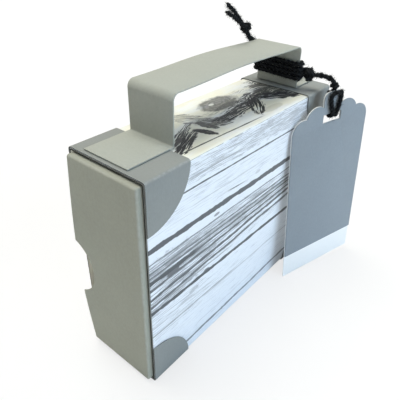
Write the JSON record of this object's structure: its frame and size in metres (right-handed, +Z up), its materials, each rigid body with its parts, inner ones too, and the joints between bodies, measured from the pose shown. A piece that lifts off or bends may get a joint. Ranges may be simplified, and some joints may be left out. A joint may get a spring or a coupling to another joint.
{
  "type": "suitcase gift box",
  "caption": "Suitcase-shaped card gift box: wood-print sleeve with card corners, sliding tray with a thumb notch, folding strap handle and a scalloped gift tag tied on with twine.",
  "frame": {"origin": "bottom centre of the box with its handle and the tray's standing-out end, between the bottom corner pieces' undersides", "axes": "+X along the box's length, from the tray's notched end to the end where the tag hangs; +Y from the front face, where the tag hangs, to the back face; +Z up"},
  "size_m": [0.1464, 0.0609, 0.1374],
  "materials": {
    "sleeve_card": "matte grey card",
    "corner_card": "matte grey card",
    "handle_card": "matte grey card",
    "tray_card": "matte grey card",
    "wood_print_paper": "printed paper with a whitewashed plank pattern",
    "tag_card": "matte blue-grey card",
    "white_card": "matte white card",
    "black_twine": "black twisted yarn"
  },
  "bodies": {
    "case": {"sleeve": "sleeve_card", "wood_print_wrap": "wood_print_paper", "corner_top_left": "corner_card", "corner_top_right": "corner_card", "corner_bottom_left": "corner_card", "corner_bottom_right": "corner_card", "handle_foot_left": "handle_card", "handle_foot_right": "handle_card", "twine_lead": "black_twine"},
    "tray": {"tray": "tray_card"},
    "leg_left": {"handle_leg_left": "handle_card"},
    "grip": {"handle_grip": "handle_card"},
    "leg_right": {"handle_leg_right": "handle_card", "twine_winding": "black_twine", "leg_knot": "black_twine", "tail_stub": "black_twine", "tail_knot": "black_twine", "tail_long": "black_twine", "tail_short": "black_twine"},
    "hitch": {"tag_hitch": "black_twine"},
    "tag": {"tag_front_card": "tag_card", "tag_back_card": "white_card", "tag_loop": "black_twine"}
  },
  "joints": [
    {"name": "tray_slide", "type": "slide", "parent": "case", "child": "tray", "axis": [-1, 0, 0], "range_m": [-0.0024, 0.12]},
    {"name": "handle_sway", "type": "hinge", "parent": "case", "child": "leg_left", "pos_m": [-0.0373, 0.0012, 0.10045], "axis": [0, 1, 0], "range_deg": [-35, 35], "stiffness_Nm_per_rad": 0.004, "deforming": ["twine_lead"]},
    {"name": "grip_level", "type": "hinge", "parent": "leg_left", "child": "grip", "pos_m": [-0.0373, 0.0012, 0.11705], "axis": [0, 1, 0], "range_deg": [-35, 35]},
    {"name": "leg_right_sway", "type": "hinge", "parent": "case", "child": "leg_right", "pos_m": [0.0484, 0.0012, 0.10045], "axis": [0, 1, 0], "range_deg": [-35, 35]},
    {"name": "tag_swivel", "type": "hinge", "parent": "case", "child": "hitch", "pos_m": [0.05472, -0.02612, 0.10371], "axis": [0, 0, 1], "range_deg": [0, 40], "deforming": ["twine_lead"]},
    {"name": "tag_swing", "type": "hinge", "parent": "hitch", "child": "tag", "pos_m": [0.05472, -0.02612, 0.10371], "axis": [-1, 0, 0], "range_deg": [0, 90], "deforming": ["twine_lead"]}
  ],
  "couplings": [
    {"joint": "grip_level", "follows": "handle_sway", "ratio": -1},
    {"joint": "leg_right_sway", "follows": "handle_sway", "ratio": 1}
  ]
}
